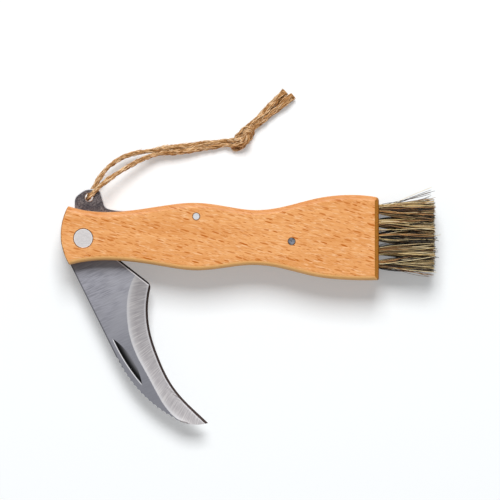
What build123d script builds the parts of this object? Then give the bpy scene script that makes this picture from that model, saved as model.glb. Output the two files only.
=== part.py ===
from build123d import *
import os
from math import atan2, cos, pi, radians, sin, sqrt, tan

os.makedirs("parts", exist_ok=True)

# Foraging knife, lying on its side with the blade half open. All lengths are millimetres.
# The origin is the pivot axis on the surface under the knife: +X runs along the handle to the
# brush, +Y to the handle's back and +Z up through the handle's thickness.

# Beech handle: reaches from the pivot axis, and the outline's points as shares of them
handle_front = 9.6
handle_rear = 126.8
handle_back = 18.65
handle_belly = 17.95
handle_thickness = 19.0
long_edge_round = 2.3
front_edge_round = 0.5
end_chamfer_length = 1.9
end_chamfer_depth = 1.2
end_corner_back = 1.7
end_corner_belly = 0.8
front_corner_back_share = -0.051
front_corner_belly_share = -0.047
back_shares = [
    (front_corner_back_share, 0.743),
    (0.102, 0.608),
    (0.265, 0.745),
    (0.379, 0.818),
    (0.482, 0.737),
    (0.576, 0.651),
    (0.683, 0.737),
    (0.786, 0.915),
    (0.900, 1.0),
    (1.0, 0.94),
]
belly_shares = [
    (front_corner_belly_share, 0.635),
    (0.102, 0.527),
    (0.259, 0.657),
    (0.379, 0.766),
    (0.478, 0.705),
    (0.569, 0.638),
    (0.676, 0.727),
    (0.778, 0.905),
    (0.888, 0.992),
    (1.0, 1.0),
]

# Blade, drawn with its back along its own length and turned down by the angle in the photo
blade_thickness = 2.0
blade_length = 94.9
back_offset = 10.1
half_open_angle = 63.6
closed_tilt = 11.5
tang_radius = 9.9
tang_step = 2.0
tang_corner_angle = 38.2
tip_radius = 17.6
curve_turn = 37.0
tip_turn = 43.0
curve_radius = 58.0
kick_reach = 30.7
kick_rise = 17.2
kick_round = 3.0
heel_length = 7.3
heel_drop = 5.2
grind_thickness = 0.5
edge_thickness = 0.06
edge_bevel_width = 1.0
heel_edge_break = 0.4
edge_overrun = 0.1
edge_shares = [
    (0.925, 0.579),
    (0.840, 0.421),
    (0.742, 0.333),
    (0.640, 0.347),
    (0.531, 0.428),
]
grind_shares = [
    (0.225, 1.05),
    (0.258, 0.695),
    (0.328, 0.325),
    (0.405, 0.099),
    (0.482, -0.044),
    (0.579, -0.113),
    (0.677, -0.097),
    (0.775, -0.080),
    (0.879, -0.007),
    (0.944, 0.160),
    (0.99, 0.39),
]
scallop_count = 16
scallop_radius = 1.7
scallop_depth = 0.43
nick_length = 23.8
nick_width = 2.4
nick_flank = 0.9
nick_depth = 0.75
nick_from_tip = 39.0
nick_inset = 3.4
nick_tilt = 6.1

# Slot sawn through the handle for the blade and the spring
slot_width = 2.7
slot_gap = 0.5
slot_run_out = 5.0
overrun = 2.0

# Pivot rivet, in two halves, with a washer each side of the tang
rivet_head_radius = 4.2
rivet_head_height = 1.1
rivet_head_chamfer = 0.25
rivet_barrel_radius = 2.2
rivet_shank_radius = 1.35
rivet_clearance = 0.05
recess_depth = 1.4
recess_clearance = 0.15
bore_clearance = 0.1
rivet_end_gap = 0.1
washer_radius = 5.0
washer_thickness = 0.3

# Spring in the slot's back, ending in the lanyard tab
spring_thickness = 2.4
spring_gap = 0.2
spring_edge_break = 0.28
spring_back_shares = [
    (0.092, 0.673),
    (0.1115, 0.650),
    (0.143, 0.638),
    (0.190, 0.660),
    (0.234, 0.700),
    (0.289, 0.735),
]
lip_length = 4.0
lip_step = 1.0
lip_gap = 0.12
kick_gap = 0.3
nose_angle = 34.0
nose_length = 1.9
flex_from_pin = 10.2
spring_eye_radius = 3.4
tail_eye_radius = 3.0
tab_height = 21.2
tab_shoulder = 17.6
tab_top_front = 0.7
tab_top_rear = 6.9
tab_foot = 9.3
tab_foot_height = 13.1
tab_shoulder_round = 3.6
tab_top_round = 6.0
tab_rear_round = 2.4
tab_foot_round = 2.6
lanyard_x = 2.35
lanyard_y = 17.65
lanyard_hole_radius = 1.7

# Cross pins
pin_radius = 1.5
pin_clearance = 0.06
pin_end_gap = 0.05
pin_end_chamfer = 0.15
spring_pin_x = 48.45
spring_pin_y = 9.4
tail_pin_x = 89.35
tail_pin_y = -1.3

# Brush: blind holes in the butt, each with a tuft held by a wire
brush_rows = 5
brush_files = 3
row_pitch = 5.9
file_pitch = 5.5
brush_rise = 0.64
bristle_length = 24.0
bristle_radius = 0.24
bristles_per_tuft = 24
bristle_unevenness = 0.7
bristle_overlap = 0.8
tuft_hole_radius = 1.6
tuft_hole_depth = 12.0
tuft_clearance = 0.1
tuft_tip_radius = 2.75
tuft_lean_share = 1.14
wire_radius = 0.35
wire_gap = 0.05
wire_end_gap = 0.15

# Jute twine
twine_diameter = 2.0
bend_share = 0.45
knot_length = 12.6
knot_radius = 3.1
knot_end_radius = 1.9
knot_x = 68.0
knot_y = 43.3
knot_tilt = 50.0
floor_gap = 0.1

# Middle plane of the handle, where blade and spring lie
middle = handle_thickness / 2
blade_bottom = middle - blade_thickness / 2


def turned(x, y, angle):
    """A point turned about the pivot axis."""
    a = radians(angle)
    return (x * cos(a) - y * sin(a), x * sin(a) + y * cos(a))


def blade_plane(height):
    """The blade's own drawing plane: X along the blade, Y towards its cutting edge."""
    x_way = turned(1, 0, -half_open_angle)
    return Plane(origin=(0, 0, height), x_dir=(*x_way, 0), z_dir=(0, 0, 1))


def scaled(shares, along, across):
    """Outline points from shares of a length and of a height."""
    return [(x * along, y * across) for x, y in shares]


def beside_edge(heel_arc, edge, inset):
    """Points along the cutting edge, from past the kick to past the tip."""
    samples = [(heel_arc, share) for share in (1, 0.5)]
    samples += [(edge, share) for share in (1, 0.8, 0.6, 0.4, 0.2, 0)]
    points = []
    for line, share in samples:
        way = line % share
        points.append((line @ share) + Vector(-way.Y, way.X) * inset)
    return [points[0] * 2 - points[1], *points, points[-1] * 2 - points[-2]]


# Handle outline
back_points = scaled(back_shares, handle_rear, handle_back)
belly_points = [(x, -y) for x, y in scaled(belly_shares, handle_rear, handle_belly)]

# Blade outline points in the blade's own plane
curve_start_x = (
    blade_length
    - curve_radius * sin(radians(curve_turn))
    - tip_radius * (sin(radians(curve_turn + tip_turn)) - sin(radians(curve_turn)))
)
tang_corner = turned(tang_radius, 0, tang_corner_angle)
tang_foot = (tang_step, -sqrt(tang_radius**2 - tang_step**2))
heel = (kick_reach + heel_length, kick_rise - heel_drop)
tip_y = (
    -back_offset
    + curve_radius * (1 - cos(radians(curve_turn)))
    + tip_radius * (cos(radians(curve_turn)) - cos(radians(curve_turn + tip_turn)))
)
blade_tip = (blade_length, tip_y)
edge_curve = scaled(edge_shares, blade_length, kick_rise)

heel_line_middle = (Vector(kick_reach, kick_rise) + Vector(*tang_corner)) / 2
heel_middle = Vertex(*turned(heel_line_middle.X, heel_line_middle.Y, -half_open_angle), middle)

# Where the closed blade's tip and kick come to rest
closed_tip = turned(*blade_tip, -closed_tilt)
closed_corner = turned(*tang_corner, -closed_tilt)
closed_kick = turned(kick_reach, kick_rise, -closed_tilt)
kick_slope = atan2(closed_kick[1] - closed_corner[1], closed_kick[0] - closed_corner[0])

# Points between which the blade's faces are ground, the last two well outside it
grind_points = scaled(grind_shares, blade_length, kick_rise)
past_tip = (blade_length + back_offset, tip_y + back_offset)
past_kick = (kick_reach, tip_y + back_offset)

# Nail nick: a wheel with a steep and a long slanting flank, sunk into the upper face
nick_wheel_radius = (nick_length**2 / 4 + nick_depth**2) / (2 * nick_depth)
nick_x, nick_y = turned(blade_length - nick_from_tip, nick_inset - back_offset, -half_open_angle)
nick_plane = Plane(
    origin=(nick_x, nick_y, middle + blade_thickness / 2 + nick_wheel_radius - nick_depth),
    x_dir=(*turned(1, 0, nick_tilt - half_open_angle), 0),
    z_dir=(*turned(0, 1, nick_tilt - half_open_angle), 0),
)

# Spring outline points: under the lip, round the tang, and just above the closed kick
lip_height = back_offset + lip_gap
lip_radius = tang_radius + spring_gap
lip_arc_start = (-lip_step, sqrt(lip_radius**2 - lip_step**2))
nose_tip = turned(lip_radius, 0, nose_angle)
nose_middle = turned(lip_radius, 0, (nose_angle + 90) / 2)
kick_line_rise = kick_gap / cos(kick_slope)
nose_foot_x = nose_tip[0] + nose_length
nose_foot = (
    nose_foot_x,
    closed_corner[1] + kick_line_rise + (nose_foot_x - closed_corner[0]) * tan(kick_slope),
)
flex_start = (closed_kick[0] - kick_line_rise / tan(kick_slope), closed_kick[1])
flex_end = (spring_pin_x - flex_from_pin, closed_kick[1])
spring_back_points = [
    *scaled(spring_back_shares, handle_rear, handle_back),
    (spring_pin_x, spring_pin_y + spring_eye_radius),
]
tab_rounds = [tab_shoulder_round, tab_top_round, tab_rear_round, tab_foot_round]

# Rivet, washer and pin places
barrel_length = handle_thickness - 2 * recess_depth - rivet_end_gap
washer_heights = [middle - slot_width / 2, middle + slot_width / 2 - washer_thickness]

# The slot is open at the belly and, as far as the spring stands out of the wood, at the back
slot_top = max(y for x, y in spring_back_points) + slot_gap
slot_depth = handle_belly + overrun
slot_front = handle_front + overrun

# Recesses for the rivet heads
recess_radius = rivet_head_radius + recess_clearance
rivet_hole_radius = rivet_barrel_radius + bore_clearance
pin_hole_radius = pin_radius + pin_clearance

# Brush holes
hole_bottom = handle_rear - tuft_hole_depth
tuft_places = [
    (brush_rise + (row - (brush_rows - 1) / 2) * row_pitch, (file - (brush_files - 1) / 2) * file_pitch)
    for file in range(brush_files)
    for row in range(brush_rows)
]

wire_x = hole_bottom + wire_gap + wire_radius
root_start = wire_x + wire_radius + wire_gap
root_spread = tuft_hole_radius - tuft_clearance - bristle_radius
knot_plane = Plane(
    origin=(knot_x, knot_y, knot_radius + floor_gap),
    x_dir=(*turned(1, 0, knot_tilt), 0),
    z_dir=(0, 0, 1),
)

# Handle block
with BuildPart() as handle_block:
    with BuildSketch():
        with BuildLine():
            back_line = Spline(*back_points)
            Line(back_line @ 1, belly_points[-1])
            Spline(*belly_points)
            ThreePointArc(belly_points[0], (-handle_front, 0), back_points[0])
        make_face()
    extrude(amount=handle_thickness)
    corner_edges = handle_block.edges().filter_by(Axis.Z).group_by(Axis.X)[-1].sort_by(Axis.Y)
    fillet(corner_edges[-1], radius=end_corner_back)
    corner_edges = handle_block.edges().filter_by(Axis.Z).group_by(Axis.X)[-1].sort_by(Axis.Y)
    fillet(corner_edges[0], radius=end_corner_belly)
    flats = handle_block.faces().filter_by(Plane.XY)
    long_edges = flats.edges().filter_by(lambda edge: edge.length > handle_rear / 2)
    fillet(long_edges, radius=long_edge_round)
    front_edges = handle_block.faces().filter_by(Plane.XY).edges().group_by(Axis.X)[0]
    fillet(front_edges, radius=front_edge_round)
    with BuildSketch(Plane.XZ):
        with BuildLine():
            Polyline(
                (-handle_front - overrun, 0),
                (handle_rear - end_chamfer_length, 0),
                (handle_rear, end_chamfer_depth),
                (handle_rear, handle_thickness - end_chamfer_depth),
                (handle_rear - end_chamfer_length, handle_thickness),
                (-handle_front - overrun, handle_thickness),
                close=True,
            )
        make_face()
    extrude(amount=handle_back + handle_belly, both=True, mode=Mode.INTERSECT)
    with BuildSketch(Plane.XY.offset(middle - slot_width / 2)):
        with Locations((spring_pin_x, spring_pin_y)):
            Circle(spring_eye_radius + slot_gap)
        with Locations((tail_pin_x, tail_pin_y)):
            Circle(tail_eye_radius + slot_gap)
        with Locations(closed_tip, (closed_tip[0] + slot_run_out, -slot_depth), (0, -slot_depth)):
            Circle(slot_gap)
        make_hull()
        with Locations((spring_pin_x, slot_top)):
            Rectangle(spring_pin_x + slot_front, slot_top + slot_depth, align=(Align.MAX, Align.MAX))
    extrude(amount=slot_width, mode=Mode.SUBTRACT)
    with BuildSketch():
        Circle(rivet_hole_radius)
        with Locations((spring_pin_x, spring_pin_y), (tail_pin_x, tail_pin_y)):
            Circle(pin_hole_radius)
    extrude(amount=handle_thickness, mode=Mode.SUBTRACT)
    with BuildSketch(Plane.XY, Plane.XY.offset(handle_thickness - recess_depth)):
        Circle(recess_radius)
    extrude(amount=recess_depth, mode=Mode.SUBTRACT)
    with BuildSketch(Plane.YZ.offset(hole_bottom)):
        with Locations(*[(y, middle + z) for y, z in tuft_places]):
            Circle(tuft_hole_radius)
    extrude(amount=tuft_hole_depth + overrun, mode=Mode.SUBTRACT)
handle_block.part.label = "handle_block"
export_step(handle_block.part, "parts/handle_block.step")

# Blade: flat stock, ground from both faces towards the hooked edge
with BuildPart() as blade:
    with BuildSketch(blade_plane(blade_bottom)):
        with BuildLine():
            back = Line((tang_step, -back_offset), (curve_start_x, -back_offset))
            curve = JernArc(back @ 1, back % 1, radius=curve_radius, arc_size=curve_turn)
            tip = JernArc(curve @ 1, curve % 1, radius=tip_radius, arc_size=tip_turn)
            edge = Spline(tip @ 1, *edge_curve, heel)
            heel_arc = TangentArc(heel, (kick_reach, kick_rise), tangent=edge % 1)
            Line(heel_arc @ 1, tang_corner)
            ThreePointArc(tang_corner, (-tang_radius, 0), tang_foot)
            Line(tang_foot, back @ 0)
        make_face()
        with Locations((curve_start_x, curve_radius - back_offset)):
            with PolarLocations(
                curve_radius + scallop_radius - scallop_depth,
                scallop_count,
                start_angle=-90,
                angular_range=curve_turn,
            ):
                Circle(scallop_radius, mode=Mode.SUBTRACT)
        Circle(rivet_barrel_radius + rivet_clearance, mode=Mode.SUBTRACT)
    extrude(amount=blade_thickness)
    kick_corner = Vertex(*turned(kick_reach, kick_rise, -half_open_angle), middle)
    upright = blade.edges().filter_by(Axis.Z)
    fillet(upright.sort_by_distance(kick_corner)[0], radius=kick_round)
    face_edges = blade.faces().filter_by(Plane.XY).edges().sort_by_distance(heel_middle)
    chamfer(face_edges[0:2], length=heel_edge_break)
    bevel_points = beside_edge(heel_arc, edge, edge_bevel_width)
    outer_points = beside_edge(heel_arc, edge, -edge_overrun)
    for side in (1, -1):
        for inner, inner_thickness, outer, outer_thickness in (
            (grind_points, blade_thickness, bevel_points, grind_thickness),
            (bevel_points, grind_thickness, outer_points, edge_thickness),
        ):
            for points, thickness in ((inner, inner_thickness), (outer, outer_thickness)):
                with BuildSketch(blade_plane(middle + side * thickness / 2)):
                    with BuildLine():
                        start = Spline(*points)
                        Polyline(start @ 1, past_tip, past_kick, start @ 0)
                    make_face()
            loft(ruled=True, mode=Mode.SUBTRACT)
    with Locations(nick_plane):
        Cone(
            nick_wheel_radius,
            nick_wheel_radius - 2 * nick_depth,
            2 * nick_width,
            align=(Align.CENTER, Align.CENTER, Align.MIN),
            mode=Mode.SUBTRACT,
        )
        Cone(
            nick_wheel_radius - 2 * nick_depth,
            nick_wheel_radius,
            2 * nick_flank,
            align=(Align.CENTER, Align.CENTER, Align.MAX),
            mode=Mode.SUBTRACT,
        )
blade.part.label = "blade"
export_step(blade.part, "parts/blade.step")

# Back spring: lanyard tab, flexing stretch above the tang, and a strap to the tail pin
with BuildPart() as back_spring:
    with BuildSketch(Plane.XY.offset(middle - spring_thickness / 2)):
        with BuildLine():
            tab = FilletPolyline(
                (-lip_length, lip_height),
                (-lip_length, tab_shoulder),
                (tab_top_front, tab_height),
                (tab_top_rear, tab_height),
                (tab_foot, tab_foot_height),
                spring_back_points[0],
                radius=tab_rounds,
            )
            spring_back = Spline(*spring_back_points, tangents=(tab % 1, (1, 0)))
            Polyline(
                spring_back @ 1,
                (spring_pin_x, spring_pin_y),
                flex_end,
                flex_start,
                nose_foot,
                nose_tip,
            )
            ThreePointArc(nose_tip, nose_middle, lip_arc_start)
            Polyline(lip_arc_start, (lip_arc_start[0], lip_height), (-lip_length, lip_height))
        make_face()
        with BuildSketch(mode=Mode.PRIVATE) as strap:
            with Locations((spring_pin_x, spring_pin_y)):
                Circle(spring_eye_radius)
            with Locations((tail_pin_x, tail_pin_y)):
                Circle(tail_eye_radius)
            make_hull()
        add(strap.sketch)
        with Locations((spring_pin_x, spring_pin_y), (tail_pin_x, tail_pin_y)):
            Circle(pin_hole_radius, mode=Mode.SUBTRACT)
        with Locations((lanyard_x, lanyard_y)):
            Circle(lanyard_hole_radius, mode=Mode.SUBTRACT)
    extrude(amount=spring_thickness)
    face_edges = back_spring.faces().filter_by(Plane.XY).edges()
    chamfer(face_edges.filter_by(lambda edge: edge.center().Y > tab_foot_height), length=spring_edge_break)
back_spring.part.label = "back_spring"
export_step(back_spring.part, "parts/back_spring.step")

# Pivot rivet: a headed barrel from behind and a headed shank from the front
with BuildPart() as rivet_rear:
    with BuildSketch(Plane.XY.offset(recess_depth - rivet_head_height)):
        Circle(rivet_head_radius)
    extrude(amount=rivet_head_height)
    chamfer(rivet_rear.edges().sort_by(Axis.Z)[0], length=rivet_head_chamfer)
    with BuildSketch(Plane.XY.offset(recess_depth)):
        Circle(rivet_barrel_radius)
    extrude(amount=barrel_length)
    with BuildSketch(Plane.XY.offset(recess_depth)):
        Circle(rivet_shank_radius + rivet_clearance)
    extrude(amount=barrel_length, mode=Mode.SUBTRACT)
rivet_rear.part.label = "rivet_rear"
export_step(rivet_rear.part, "parts/rivet_rear.step")

with BuildPart() as rivet_front:
    with BuildSketch(Plane.XY.offset(handle_thickness - recess_depth)):
        Circle(rivet_head_radius)
    extrude(amount=rivet_head_height)
    chamfer(rivet_front.edges().sort_by(Axis.Z)[-1], length=rivet_head_chamfer)
    with BuildSketch(Plane.XY.offset(handle_thickness - recess_depth)):
        Circle(rivet_shank_radius)
    extrude(amount=-barrel_length)
rivet_front.part.label = "rivet_front"
export_step(rivet_front.part, "parts/rivet_front.step")

# Two washers between the tang and the slot's walls
with BuildPart() as pivot_washers:
    for height in washer_heights:
        with BuildSketch(Plane.XY.offset(height)):
            Circle(washer_radius)
            Circle(rivet_barrel_radius + rivet_clearance, mode=Mode.SUBTRACT)
        extrude(amount=washer_thickness)
pivot_washers.part.label = "pivot_washers"
export_step(pivot_washers.part, "parts/pivot_washers.step")

# Cross pins through the handle and the spring
for name, x, y in (("spring_pin", spring_pin_x, spring_pin_y), ("tail_pin", tail_pin_x, tail_pin_y)):
    with BuildPart() as cross_pin:
        with BuildSketch(Plane(origin=(x, y, pin_end_gap))):
            Circle(pin_radius)
        extrude(amount=handle_thickness - 2 * pin_end_gap)
        chamfer(cross_pin.edges().filter_by(GeomType.CIRCLE), length=pin_end_chamfer)
    cross_pin.part.label = name
    export_step(cross_pin.part, f"parts/{name}.step")

# Wires across the bottoms of the brush holes
with BuildPart() as anchor_wires:
    for y, z in tuft_places:
        wire_start = middle + z - tuft_hole_radius + wire_end_gap
        with BuildSketch(Plane(origin=(wire_x, y, wire_start))):
            Circle(wire_radius)
        extrude(amount=2 * (tuft_hole_radius - wire_end_gap))
anchor_wires.part.label = "anchor_wires"
export_step(anchor_wires.part, "parts/anchor_wires.step")


def bristle(root, end):
    """One three sided bristle, straight from its root to its cut end."""
    sections = []
    for x, y, z in (root, end):
        with BuildSketch(Plane(origin=(x, y, z), x_dir=(0, 1, 0), z_dir=(1, 0, 0))) as section:
            RegularPolygon(bristle_radius, 3)
        sections.append(section.sketch)
    return loft(sections, ruled=True, mode=Mode.PRIVATE)


# Tufts: a folded root in the blind hole and straight bristles that fan out to a level cut
golden_turn = 180 * (3 - sqrt(5))
for number, (y, z) in enumerate(tuft_places, 1):
    bristles = []
    for strand in range(bristles_per_tuft):
        spread = sqrt((strand + 0.5) / bristles_per_tuft)
        root_y, root_z = turned(root_spread * spread, 0, strand * golden_turn)
        tip_y_off, tip_z_off = turned(tuft_tip_radius * spread, 0, strand * golden_turn)
        uneven = bristle_unevenness * sin(radians(strand * golden_turn)) / 2
        bristles.append(
            bristle(
                (handle_rear - bristle_overlap, y + root_y, middle + z + root_z),
                (
                    handle_rear + bristle_length + uneven,
                    brush_rise + (y - brush_rise) * tuft_lean_share + tip_y_off,
                    middle + z * tuft_lean_share + tip_z_off,
                ),
            )
        )
    with BuildPart() as tuft:
        with BuildSketch(Plane.YZ.offset(root_start)):
            with Locations((y, middle + z)):
                Circle(tuft_hole_radius - tuft_clearance)
        extrude(amount=handle_rear - root_start)
        add(bristles)
    tuft.part.label = f"tuft_{number:02d}"
    export_step(tuft.part, f"parts/tuft_{number:02d}.step")


def bend_radii(points):
    """The largest tangent arc that each corner's two runs leave room for."""
    radii = []
    for before, corner, after in zip(points, points[1:], points[2:]):
        arriving = Vector(*corner) - Vector(*before)
        leaving = Vector(*after) - Vector(*corner)
        half_turn = radians(arriving.get_angle(leaving)) / 2
        radii.append(bend_share * min(arriving.length, leaving.length) / tan(half_turn))
    return radii


# Twine: both strands start in the tab's hole, drop to the floor and run into the knot
twine_routes = {
    "twine_front": [
        (lanyard_x, lanyard_y, middle),
        (lanyard_x, lanyard_y, 13.8),
        (5.7, 21.3, 14.1),
        (11.2, 25.9, 9.6),
        (17.6, 30.3, 4.1),
        (25.4, 34.1, 1.15),
        (34.5, 35.6, 1.1),
        (45.0, 37.4, 1.15),
        (55.0, 38.7, 1.5),
        (64.8, 41.2, 2.7),
    ],
    "twine_rear": [
        (lanyard_x, lanyard_y, middle),
        (lanyard_x, lanyard_y, 5.2),
        (4.9, 22.5, 4.9),
        (9.4, 29.4, 2.2),
        (17.2, 35.0, 1.1),
        (27.6, 37.8, 1.15),
        (38.5, 38.7, 1.1),
        (49.5, 40.8, 1.15),
        (58.0, 42.0, 1.6),
        (65.0, 44.0, 2.7),
    ],
    "twine_tail_upper": [
        (70.4, 46.6, 2.7),
        (73.5, 50.7, 1.6),
        (77.5, 54.3, 1.1),
        (81.2, 58.4, 1.15),
        (85.9, 61.9, 1.1),
    ],
    "twine_tail_lower": [
        (71.7, 45.2, 2.7),
        (75.7, 48.7, 1.6),
        (80.2, 52.6, 1.1),
        (84.8, 56.9, 1.15),
        (89.8, 60.3, 1.1),
    ],
}
for name, points in twine_routes.items():
    radii = bend_radii(points)
    with BuildPart() as twine:
        with BuildLine() as route:
            FilletPolyline(*points, radius=radii)
        with BuildSketch(Plane(origin=route.line @ 0, z_dir=route.line % 0)):
            Circle(twine_diameter / 2)
        sweep()
    twine.part.label = name
    export_step(twine.part, f"parts/{name}.step")
    length = sum(run.length for run in route.edges())
    expected = pi * twine_diameter**2 / 4 * length
    print(name, "length", round(length, 1), "radii", [round(r, 1) for r in radii])
    print(name, "volume", round(twine.part.volume, 1), "section times length", round(expected, 1))

# Knot: a short barrel along the slanting way that the tails leave it
with BuildPart() as twine_knot:
    with BuildSketch(knot_plane):
        with BuildLine():
            side = ThreePointArc(
                (-knot_length / 2, knot_end_radius),
                (0, knot_radius),
                (knot_length / 2, knot_end_radius),
            )
            Polyline(side @ 1, (knot_length / 2, 0), (-knot_length / 2, 0), side @ 0)
        make_face()
    revolve(axis=Axis(knot_plane.origin, knot_plane.x_dir))
twine_knot.part.label = "twine_knot"
export_step(twine_knot.part, "parts/twine_knot.step")
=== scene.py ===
import math
import random

import bpy
from mathutils import Matrix, Vector


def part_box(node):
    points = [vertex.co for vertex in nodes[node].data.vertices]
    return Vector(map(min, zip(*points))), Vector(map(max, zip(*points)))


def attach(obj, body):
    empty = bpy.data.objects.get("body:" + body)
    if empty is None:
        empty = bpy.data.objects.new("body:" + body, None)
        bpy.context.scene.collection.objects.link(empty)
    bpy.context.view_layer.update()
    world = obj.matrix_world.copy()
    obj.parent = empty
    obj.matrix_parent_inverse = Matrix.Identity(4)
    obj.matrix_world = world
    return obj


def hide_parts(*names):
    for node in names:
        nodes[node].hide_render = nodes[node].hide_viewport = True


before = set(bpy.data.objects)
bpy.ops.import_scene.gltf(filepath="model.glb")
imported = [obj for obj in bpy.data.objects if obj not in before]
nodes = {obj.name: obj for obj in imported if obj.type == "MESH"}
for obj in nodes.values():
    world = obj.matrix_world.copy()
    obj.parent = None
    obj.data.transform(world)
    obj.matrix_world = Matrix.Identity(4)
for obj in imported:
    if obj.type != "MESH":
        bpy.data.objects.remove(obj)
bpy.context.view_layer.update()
mm = 0.001
in_metres = (1, 1, 1)
in_millimetres = (mm, mm, mm)

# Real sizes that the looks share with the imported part
handle_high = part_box("handle_block")[1]
blade_low, blade_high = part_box("blade")
middle = (blade_low.z + blade_high.z) / 2
half_open_angle = math.radians(63.6)

# The picture: straight from above, 215 mm across
picture_width = 215 * mm
picture_centre = Vector((71.5 * mm, -5.0 * mm, middle))
camera_distance = 3.0
camera_sensor = 36
nearest_seen = 0.05


def make_camera():
    """A long lens straight above the knife."""
    data = bpy.data.cameras.new("camera_above")
    data.sensor_width = camera_sensor
    data.lens = camera_sensor * camera_distance / picture_width
    data.clip_start = nearest_seen
    camera = bpy.data.objects.new("camera_above", data)
    camera.location = picture_centre + Vector((0, 0, camera_distance))
    bpy.context.scene.collection.objects.link(camera)
    bpy.context.scene.camera = camera


make_camera()


# Shader helpers
def srgb(red, green, blue):
    """The linear colour of a screen colour from 0 to 255."""
    linear = []
    for part in (red / 255, green / 255, blue / 255):
        linear.append(part / 12.92 if part < 0.04 else ((part + 0.055) / 1.055) ** 2.4)
    return (*linear, 1)


def new_finish(name, metallic=0.0, roughness=0.5, specular=0.5):
    """A material, its node tree and its shader."""
    finish = bpy.data.materials.new(name)
    finish.use_nodes = True
    shader = finish.node_tree.nodes["Principled BSDF"]
    shader.inputs["Metallic"].default_value = metallic
    shader.inputs["Roughness"].default_value = roughness
    shader.inputs["Specular IOR Level"].default_value = specular
    return finish, finish.node_tree, shader


def node(tree, kind, inputs, **settings):
    """A shader node with its settings, and values or links for its inputs."""
    made = tree.nodes.new("ShaderNode" + kind)
    for name, value in settings.items():
        setattr(made, name, value)
    for name, value in inputs.items():
        if isinstance(value, bpy.types.NodeSocket):
            tree.links.new(value, made.inputs[name])
        else:
            made.inputs[name].default_value = value
    return made


def maths(tree, operation, first, second=0.0, clamp=False):
    """The result of one sum."""
    made = node(tree, "Math", {0: first, 1: second}, operation=operation, use_clamp=clamp)
    return made.outputs[0]


def plus(tree, first, second, clamp=False):
    """Two values added."""
    return maths(tree, "ADD", first, second, clamp)


def less(tree, first, second):
    """The first value less the second."""
    return maths(tree, "SUBTRACT", first, second)


def times(tree, first, second):
    """Two values multiplied."""
    return maths(tree, "MULTIPLY", first, second)


def vectors(tree, operation, first, second):
    """The result of one sum of two vectors."""
    return node(tree, "VectorMath", {0: first, 1: second}, operation=operation).outputs[0]


def length_of(tree, vector):
    """How long a vector is."""
    return node(tree, "VectorMath", {0: vector}, operation="LENGTH").outputs["Value"]


def parts_of(tree, vector):
    """A vector's X, Y and Z."""
    return node(tree, "SeparateXYZ", {0: vector}).outputs


def rise(tree, value, low, high):
    """0 below low, 1 above high and smooth between them."""
    inputs = {"Value": value, "From Min": low, "From Max": high}
    return node(tree, "MapRange", inputs, interpolation_type="SMOOTHSTEP").outputs[0]


def mixed(tree, factor, first, second):
    """The first colour, with the second over it by the factor."""
    inputs = {0: factor, 6: first, 7: second}
    return node(tree, "Mix", inputs, data_type="RGBA").outputs[2]


def tinted(tree, colour, factor, share, tint):
    """The colour with a tint over it by a share of the factor."""
    return mixed(tree, times(tree, factor, share), colour, tint)


def place_on(tree, size, turn=0.0, centre=(0, 0, 0)):
    """Object coordinates measured in pieces of a size, from a centre and turned about Z."""
    inputs = {
        "Vector": node(tree, "TexCoord", {}).outputs["Object"],
        "Location": centre,
        "Rotation": (0, 0, turn),
        "Scale": size,
    }
    return node(tree, "Mapping", inputs, vector_type="TEXTURE").outputs[0]


def off_axis(tree, apart):
    """How far out a place is from the upright axis, from its X, Y and Z."""
    return length_of(tree, node(tree, "CombineXYZ", {0: apart[0], 1: apart[1]}).outputs[0])


def off_centre(tree, centre):
    """How far out a place is from an upright axis through a centre."""
    return off_axis(tree, parts_of(tree, place_on(tree, in_metres, centre=centre)))


def noise(tree, place, detail=2.0, distortion=0.0):
    """Soft noise about a half, one blotch to each piece of the place given."""
    inputs = {"Vector": place, "Scale": 1.0, "Detail": detail, "Distortion": distortion}
    return node(tree, "TexNoise", inputs).outputs[0]


def bump(tree, shader, height, strength, distance):
    """Relief on a surface."""
    made = node(tree, "Bump", {"Height": height, "Strength": strength, "Distance": distance})
    tree.links.new(made.outputs[0], shader.inputs["Normal"])


def face_way(tree):
    """The way a face looks, in the piece's own axes."""
    way = node(tree, "NewGeometry", {}).outputs["True Normal"]
    settings = {"vector_type": "NORMAL", "convert_from": "WORLD", "convert_to": "OBJECT"}
    own = node(tree, "VectorTransform", {0: way}, **settings)
    return parts_of(tree, own.outputs[0])


def facing(tree, axis):
    """How squarely a face looks along an axis, either way: 1 is full on."""
    return maths(tree, "ABSOLUTE", face_way(tree)[axis])


def colour_by(tree, value, stops):
    """A colour ramp through the stops, each a place and a colour."""
    ramp = node(tree, "ValToRGB", {0: value})
    while len(ramp.color_ramp.elements) < len(stops):
        ramp.color_ramp.elements.new(0.5)
    for element, (at, colour) in zip(ramp.color_ramp.elements, stops):
        element.position = at
        element.color = colour
    return ramp.outputs[0]


def curve_by(tree, value, points):
    """A smooth curve through points whose numbers all lie between 0 and 1."""
    made = node(tree, "FloatCurve", {"Value": value})
    line = made.mapping.curves[0]
    line.points[0].location = points[0]
    line.points[1].location = points[-1]
    for place in points[1:-1]:
        line.points.new(*place)
    made.mapping.update()
    return made.outputs[0]


# Cross pins, which show on the handle's faces
pin_radius = 1.5 * mm
spring_pin_place = (48.45 * mm, 9.4 * mm, 0)
tail_pin_place = (89.35 * mm, -1.3 * mm, 0)
pin_ring_width = 0.4 * mm
pin_ring_soft_share = 0.3

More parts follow.
